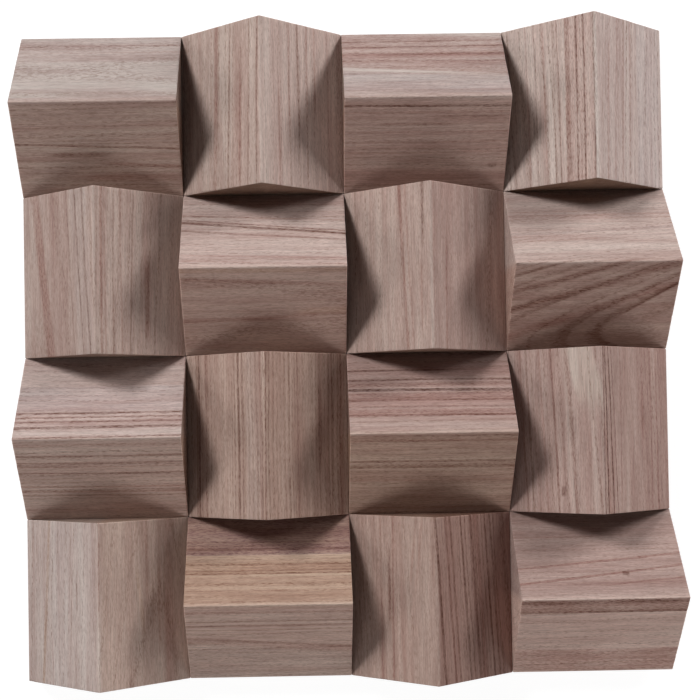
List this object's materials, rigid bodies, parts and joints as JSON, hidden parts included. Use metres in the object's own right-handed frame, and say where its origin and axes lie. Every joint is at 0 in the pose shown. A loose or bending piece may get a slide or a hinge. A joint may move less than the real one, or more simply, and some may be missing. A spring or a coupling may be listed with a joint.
{
  "type": "acoustic scattering panel",
  "caption": "Square wall panel of solid wood gable blocks laid in a chequer with crossed ridges on a plywood backing board; it scatters sound.",
  "frame": {"origin": "middle of the back of the backing board, which lies on the floor", "axes": "+Z out of the panel's face, towards the ridges; +X along the ridge of the block in the first row and first column; +Y towards the first row"},
  "size_m": [0.5994, 0.5994, 0.0995],
  "materials": {
    "block_wood": "sanded, unvarnished, matt",
    "plywood": "sanded, raw"
  },
  "bodies": {
    "root": {"backing_board": "plywood", "block_row1_col1": "block_wood", "block_row1_col2": "block_wood", "block_row1_col3": "block_wood", "block_row1_col4": "block_wood", "block_row2_col1": "block_wood", "block_row2_col2": "block_wood", "block_row2_col3": "block_wood", "block_row2_col4": "block_wood", "block_row3_col1": "block_wood", "block_row3_col2": "block_wood", "block_row3_col3": "block_wood", "block_row3_col4": "block_wood", "block_row4_col1": "block_wood", "block_row4_col2": "block_wood", "block_row4_col3": "block_wood", "block_row4_col4": "block_wood"}
  },
  "joints": []
}
